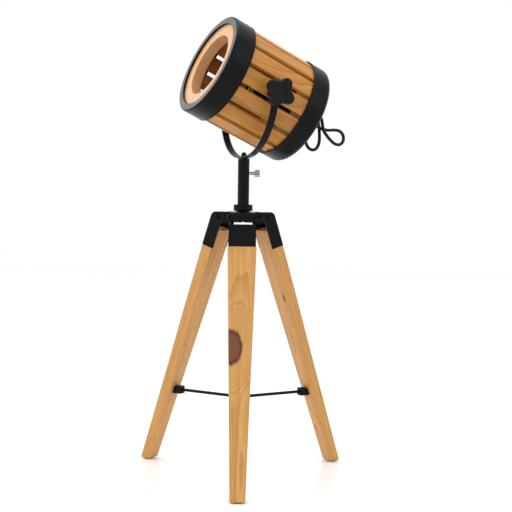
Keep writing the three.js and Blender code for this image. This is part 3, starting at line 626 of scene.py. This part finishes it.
wood_figure, w, given, made = new_group(
    "wood_figure",
    [("Vector", "Vector", None), ("Ring Width", "Float", 0.004), ("Heart Depth", "Float", 0.06),
     ("Seed", "Float", 0.0), ("Knot Across", "Float", 1.0), ("Knot Along", "Float", 1.0),
     ("Knot Width", "Float", 0.006), ("Knot Length", "Float", 0.018)],
    ["Rings", "Fibre", "Streak", "Knot", "Knot Edge"])
seed_shift = w.add("CombineXYZ", {"X": given["Seed"], "Y": w.math("MULTIPLY", given["Seed"], 0.7),
                                  "Z": w.math("MULTIPLY", given["Seed"], 1.9)}).outputs[0]
moved = w.add("VectorMath", {0: given["Vector"], 1: seed_shift}, operation="ADD").outputs[0]
place = w.add("SeparateXYZ", {0: given["Vector"]}).outputs
slow_x = w.noise(moved, 1.0, (20, 20, 3.2))
slow_y = w.noise(moved, 1.0, (9, 9, 4.5))
depth = w.math("ADD", w.math("ADD", place["X"], given["Heart Depth"]),
               w.spread(slow_x, 0, 1, -0.012, 0.012))
across = w.math("ADD", place["Y"], w.spread(slow_y, 0, 1, -0.025, 0.025))
from_heart = w.math("SQRT", w.math("ADD", w.math("POWER", depth, 2), w.math("POWER", across, 2)))
slant = w.math("SUBTRACT", LEG_FACE_DEPTH, place["X"])
knot_y = w.math("DIVIDE", w.math("ADD", w.math("SUBTRACT", place["Y"], given["Knot Across"]),
                                 slant), given["Knot Width"])
knot_z = w.math("DIVIDE", w.math("SUBTRACT", place["Z"], given["Knot Along"]),
                given["Knot Length"])
from_knot = w.math("SQRT", w.math("ADD", w.math("POWER", w.math("ABSOLUTE", knot_y), 2),
                                  w.math("POWER", w.math("ABSOLUTE", knot_z), 2)))
ragged = w.math("ADD", from_knot, w.spread(w.noise(moved, 220, (1, 1, 0.4)), 0, 1, -0.14, 0.14))
pull = w.math("POWER", 2.718, w.math("MULTIPLY", w.math("POWER", from_knot, 2), -0.32))
board_rings = w.math("DIVIDE", from_heart, given["Ring Width"])
turns = w.math("ADD", w.math("MULTIPLY", board_rings, w.math("SUBTRACT", 1.0, pull)),
               w.math("MULTIPLY", w.math("MULTIPLY", ragged, 4.2), pull))
w.feed(made["Rings"], w.math("POWER", w.math("FRACT", turns), 2.2))
w.feed(made["Fibre"], w.noise(moved, 1.0, (1500, 1500, 38), 3.0, 0.6))
w.feed(made["Streak"], w.noise(moved, 1.0, (300, 300, 5), 4.0, 0.6))
w.feed(made["Knot"], w.spread(ragged, 0.9, 1.12, 1.0, 0.0))
w.feed(made["Knot Edge"], w.spread(w.math("ABSOLUTE", w.math("SUBTRACT", ragged, 0.96)),
                                   0.03, 0.2, 1.0, 0.0))
print("group", wood_figure.name, "puts out", [s.name for s in made if s.name])

# %% [markdown]
# ## Paint and plastic skin
# Sprayed paint and moulded plastic share the same secret: the surface is not quite even.
# There is a fine orange peel, slow clouds in the gloss and a trace of dust. One group
# makes all three, and each black finish uses it with its own amounts.

# %% Painted skin as a shared group
uneven_skin, w, given, made = new_group(
    "uneven_skin", [("Vector", "Vector", None), ("Peel Scale", "Float", 700.0)],
    ["Peel", "Cloud", "Dust"])
w.feed(made["Peel"], w.noise(given["Vector"], given["Peel Scale"], (1, 1, 1), 3.0, 0.6))
w.feed(made["Cloud"], w.noise(given["Vector"], 28.0, (1, 1, 1), 4.0, 0.55))
specks = w.noise(given["Vector"], 1900.0, (1, 1, 1), 2.0, 0.7)
w.feed(made["Dust"], w.math("MULTIPLY", w.spread(specks, 0.66, 0.78),
                            w.spread(w.noise(given["Vector"], 9.0), 0.4, 0.7)))


# %% Starting a finish
def new_finish(name):
    """A material with its wiring helper, its Principled shader and its rest position."""
    material = bpy.data.materials.new(name)
    material.use_nodes = True
    material.node_tree.nodes.clear()
    wires = Wiring(material.node_tree)
    shader = wires.add("BsdfPrincipled")
    output = wires.add("OutputMaterial")
    wires.feed(output.inputs["Surface"], shader.outputs[0])
    return material, wires, shader.inputs, wires.add("TexCoord").outputs["Object"]


def use_group(wires, group, inputs):
    """A shared group placed in a finish, with this finish's own values."""
    node = wires.tree.nodes.new("ShaderNodeGroup")
    node.node_tree = group
    for key, value in inputs.items():
        wires.feed(node.inputs[key], value)
    return node.outputs


def local_to(wires, position, placing):
    """The position measured along a board's or the drum's own axes."""
    mapping = wires.add("Mapping", {"Vector": position, "Location": placing.translation,
                                    "Rotation": placing.to_euler("XYZ")}, vector_type="TEXTURE")
    return mapping.outputs[0]


def paint(piece, material):
    """Gives a piece one material."""
    piece.data.materials.clear()
    piece.data.materials.append(material)


# %% [markdown]
# ## Pine
# The legs are pale knotty pine under clear satin lacquer, and the slats a browner, honey
# toned pine. Both are mixed from the same figure: rings darken, streaks warm, fibre
# breaks up the gloss, and a knot is red-brown with a nearly black rim. Each board gets
# its own seed and tint, because no two planks in a lamp match, and the top slats are
# tinted lighter as painted light from above.

# %% Pine finish
def pine_finish(name, placing, tones, seed, ring_width=0.0045, ring_depth=0.45, knot=None):
    """Lacquered pine for one board. tones are its pale, warm and ring colours."""
    material, wires, shader, position = new_finish(name)
    pale, warm, ring = tones
    values = {"Vector": local_to(wires, position, placing), "Seed": seed,
              "Ring Width": ring_width, "Heart Depth": 0.055 + 0.02 * math.sin(seed * 5)}
    if knot:
        values.update(zip(("Knot Across", "Knot Along", "Knot Width", "Knot Length"), knot))
    figure = use_group(wires, wood_figure, values)
    body = wires.blend(wires.spread(figure["Streak"], 0.3, 0.7), pale, warm)
    body = wires.blend(wires.math("MULTIPLY", figure["Rings"], ring_depth), body, ring)
    fleck = wires.spread(figure["Fibre"], 0.25, 0.75, 0.74, 1.12)
    body = wires.blend(1.0, body, wires.add("CombineColor", {0: fleck, 1: fleck, 2: fleck})
                       .outputs[0], "MULTIPLY")
    if knot:
        heart = wires.blend(figure["Rings"], (0.165, 0.038, 0.016, 1), (0.02, 0.006, 0.003, 1))
        body = wires.blend(wires.math("MULTIPLY", figure["Knot"], 0.9), body, heart)
        body = wires.blend(wires.math("MULTIPLY", figure["Knot Edge"], 0.75), body,
                           (0.03, 0.010, 0.006, 1))
    wires.feed(shader["Base Color"], body)
    wires.feed(shader["Roughness"], wires.spread(figure["Fibre"], 0.2, 0.8, 0.36, 0.52))
    height = wires.math("ADD", wires.math("MULTIPLY", figure["Fibre"], 0.6),
                        wires.math("MULTIPLY", figure["Rings"], -0.4))
    bump = wires.add("Bump", {"Height": height, "Strength": 0.35, "Distance": 0.00025})
    wires.feed(shader["Normal"], bump.outputs[0])
    shader["Specular IOR Level"].default_value = 0.3
    shader["Coat Weight"].default_value = 0.06
    shader["Coat Roughness"].default_value = 0.28
    return material


LEG_TONES = ((0.65, 0.355, 0.11, 1), (0.55, 0.265, 0.068, 1), (0.27, 0.10, 0.022, 1))
LEG_KNOTS = {"front": (-0.0129, 0.198, 0.0150, 0.0225), "right": (0.006, 0.262, 0.0028, 0.006),
             "left": (-0.005, 0.121, 0.0024, 0.005)}
for index, name in enumerate(LEG_AZIMUTHS):
    finish = pine_finish(f"leg_pine_{name}", leg_frames[name], LEG_TONES, 1.3 + 2.1 * index,
                         0.0034, 0.4, LEG_KNOTS[name])
    paint(frame["nodes"][f"leg_{name}"], finish)
print("painted legs:", leg_names)

# %% Slats, each its own plank, with painted light on the top ones
# Each slat's lightness is a plank tone that differs at random, except the first and last slats at the
# top of the drum, which are made much lighter as a painted highlight of the light from above.
SLAT_TONE_AND_TOP_LIGHT = [1.25, 0.96, 1.06, 0.9, 1.0, 0.9, 1.04, 0.84, 1.1, 0.96, 0.9, 0.98, 1.1, 1.0, 1.35]


def tinted(color, lightness):
    """A colour made lighter or darker, its alpha kept."""
    return (*(min(c * lightness, 1.0) for c in color[:3]), 1)


SLAT_TONES = ((0.55, 0.25, 0.044, 1), (0.44, 0.175, 0.027, 1), (0.20, 0.06, 0.009, 1))
for index, name in enumerate(slat_names):
    turn = Matrix.Rotation(math.pi / 2 + math.tau * index / len(slat_names), 4, "Z")
    tones = [tinted(tone, SLAT_TONE_AND_TOP_LIGHT[index]) for tone in SLAT_TONES]
    finish = pine_finish(f"slat_pine_{index + 1:02d}", drum_frame @ turn, tones,
                         0.37 + 1.71 * index, 0.0024 + 0.0003 * (index % 4), 0.42)
    paint(frame["nodes"][name], finish)
print("painted slats:", len(slat_names))

# %% [markdown]
# ## Layered board
# The rings are sawn from thin layers glued with the grain crossing. Seen on an edge, the
# layers alternate light and dark with a thin glue line between. On the flat faces only
# the top layer shows, so a pattern that counts layers along the drum's axis does both.

# %% Layered board finish
def layered_finish(name, placing):
    """Thin glued layers, counted along the drum."""
    material, wires, shader, position = new_finish(name)
    local = local_to(wires, position, placing)
    figure = use_group(wires, wood_figure, {
        "Vector": wires.add("Mapping", {"Vector": local, "Rotation": (0, math.pi / 2, 0.4)})
        .outputs[0], "Seed": 7.7, "Ring Width": 0.006})
    along = wires.add("SeparateXYZ", {0: local}).outputs["Z"]
    count = wires.math("DIVIDE", along, 0.0021)
    layer = wires.math("FRACT", count)
    dark = wires.math("GREATER_THAN", wires.math("FRACT", wires.math("MULTIPLY", count, 0.5)), 0.5)
    glue = wires.spread(wires.math("ABSOLUTE", wires.math("SUBTRACT", layer, 0.5)), 0.42, 0.5)
    body = wires.blend(wires.spread(figure["Streak"], 0.3, 0.7), (0.66, 0.375, 0.165, 1),
                       (0.57, 0.29, 0.11, 1))
    body = wires.blend(wires.math("MULTIPLY", figure["Rings"], 0.22), body, (0.46, 0.22, 0.08, 1))
    body = wires.blend(wires.math("MULTIPLY", dark, 0.35), body, (0.50, 0.25, 0.095, 1))
    body = wires.blend(wires.math("MULTIPLY", glue, 0.55), body, (0.30, 0.13, 0.05, 1))
    wires.feed(shader["Base Color"], body)
    wires.feed(shader["Roughness"], wires.spread(figure["Fibre"], 0.2, 0.8, 0.42, 0.58))
    bump = wires.add("Bump", {"Height": wires.math("SUBTRACT", figure["Fibre"], glue),
                              "Strength": 0.3, "Distance": 0.0002})
    wires.feed(shader["Normal"], bump.outputs[0])
    return material


layered_board = layered_finish("layered_board", drum_frame)
for piece in (mouth_ring, back_ring):
    paint(piece, layered_board)

# %% [markdown]
# ## Black and bright finishes
# Five more finishes differ only in a few values: satin paint on the steel, moulded
# plastic on knobs and switch, the softer jacket of the cord, zinc on the thumb screw and
# studs, and brass in the socket. One function makes them all from the uneven skin. The
# black ones get little shine, so that they stay dark in front of a white surround.

# %% Skinned finishes
def skinned_finish(name, tone, dusty, gloss, peel_scale, peel_depth, metallic=0.0, shine=0.5):
    """A finish with an uneven skin. gloss is its lowest and highest roughness."""
    material, wires, shader, position = new_finish(name)
    skin = use_group(wires, uneven_skin, {"Vector": position, "Peel Scale": peel_scale})
    shade = wires.blend(wires.spread(skin["Cloud"], 0.3, 0.7), tone, tinted(tone, 1.35))
    wires.feed(shader["Base Color"], wires.blend(wires.math("MULTIPLY", skin["Dust"], 0.5),
                                                 shade, dusty))
    wires.feed(shader["Roughness"], wires.spread(skin["Cloud"], 0.25, 0.75, *gloss))
    bump = wires.add("Bump", {"Height": skin["Peel"], "Strength": 0.4, "Distance": peel_depth})
    wires.feed(shader["Normal"], bump.outputs[0])
    shader["Metallic"].default_value = metallic
    shader["Specular IOR Level"].default_value = shine
    return material


satin_black = skinned_finish("satin_black_paint", (0.0035, 0.0035, 0.004, 1),
                             (0.016, 0.0155, 0.015, 1), (0.26, 0.38), 900.0, 0.00006, shine=0.1)
moulded_black = skinned_finish("moulded_black_plastic", (0.004, 0.004, 0.004, 1),
                               (0.016, 0.016, 0.016, 1), (0.42, 0.52), 1500.0, 0.00009, shine=0.12)
cord_jacket = skinned_finish("cord_jacket", (0.004, 0.004, 0.0045, 1),
                             (0.016, 0.016, 0.016, 1), (0.36, 0.46), 500.0, 0.00005, shine=0.16)
bright_zinc = skinned_finish("bright_zinc", (0.33, 0.33, 0.32, 1), (0.2, 0.2, 0.19, 1),
                             (0.30, 0.44), 1200.0, 0.00004, 1.0)
thread_brass = skinned_finish("thread_brass", (0.66, 0.44, 0.16, 1), (0.3, 0.2, 0.1, 1),
                              (0.26, 0.4), 900.0, 0.00004, 1.0)

# %% Paint the black and bright pieces
steel_nodes = (cap_names + bolt_names + block_names
               + ["hub", "brace", "post_tube", "post_collar", "yoke_bolt", "pivot_spacer_right",
                  "pivot_spacer_left"])
plastic_nodes = glide_names + ["lamp_holder", "cord_gland", "switch_body", "switch_rocker", "plug"]
zinc_nodes = ["thumb_screw", "yoke_spigot", "pivot_stud_right", "pivot_stud_left"]
for names, finish in ((steel_nodes, satin_black), (plastic_nodes, moulded_black),
                      (zinc_nodes, bright_zinc)):
    for name in names:
        paint(frame["nodes"][name], finish)
for piece, finish in ((front_band, satin_black), (rear_cap, satin_black), (strap, satin_black),
                      (liner, thread_brass), (hank_tie, cord_jacket), (mains_cord, cord_jacket),
                      *((screw, satin_black) for screw in band_screws)):
    paint(piece, finish)
for name in ("right", "left"):
    paint(bpy.data.objects[f"star_knob_{name}_moulded"], moulded_black)
print("painted", len(steel_nodes) + len(plastic_nodes) + len(zinc_nodes), "frame pieces")

# %% [markdown]
# ## Floor and light
# The lamp stands on a plain white floor with a slight polish, so that the feet leave a
# faint reflection. Broad soft lamps left, right, behind and above give long even
# highlights on the black steel, and a bright surround keeps the background clean. The
# plain view transform keeps white pure white.

# %% Floor
floor_mesh = bpy.data.meshes.new("studio_floor")
floor_build = bmesh.new()
bmesh.ops.create_grid(floor_build, x_segments=8, y_segments=8, size=6)
floor_build.to_mesh(floor_mesh)
floor_build.free()
floor = bpy.data.objects.new("studio_floor", floor_mesh)
bpy.context.scene.collection.objects.link(floor)
floor_finish, wires, shader, position = new_finish("studio_floor_paint")
cloud = wires.noise(position, 3.0)
wires.feed(shader["Base Color"], wires.blend(cloud, (0.93, 0.93, 0.93, 1), (0.95, 0.95, 0.95, 1)))
shader["Roughness"].default_value = 0.16
shader["IOR"].default_value = 1.35
paint(floor, floor_finish)


# %% Studio light
def soft_lamp(name, place, aim, size, power):
    """A square soft lamp at a place, turned to a point."""
    data = bpy.data.lights.new(name, "AREA")
    data.shape = "RECTANGLE"
    data.size, data.size_y = size
    data.energy = power
    lamp = bpy.data.objects.new(name, data)
    lamp.location = place
    lamp.rotation_mode = "QUATERNION"
    lamp.rotation_quaternion = (Vector(aim) - Vector(place)).to_track_quat("-Z", "Y")
    bpy.context.scene.collection.objects.link(lamp)
    return lamp


lamps = [
    soft_lamp("left_softbox", (-1.6, -1.1, 1.3), (0, 0, 0.35), (1.0, 1.4), 11),
    soft_lamp("right_softbox", (1.7, -0.9, 1.2), (0, 0, 0.35), (1.0, 1.4), 5),
    soft_lamp("back_softbox", (-1.25, 1.25, 1.15), (0, 0, 0.55), (0.9, 0.9), 7),
    soft_lamp("top_softbox", (0.1, 0.3, 2.1), (0, 0, 0.3), (1.6, 1.2), 12),
]
world = bpy.data.worlds.new("studio")
world.use_nodes = True
world.node_tree.nodes["Background"].inputs["Color"].default_value = (1, 1, 1, 1)
world.node_tree.nodes["Background"].inputs["Strength"].default_value = 1.0
bpy.context.scene.world = world
bpy.context.scene.view_settings.view_transform = "Standard"
print("lamps:", [lamp.name for lamp in lamps])
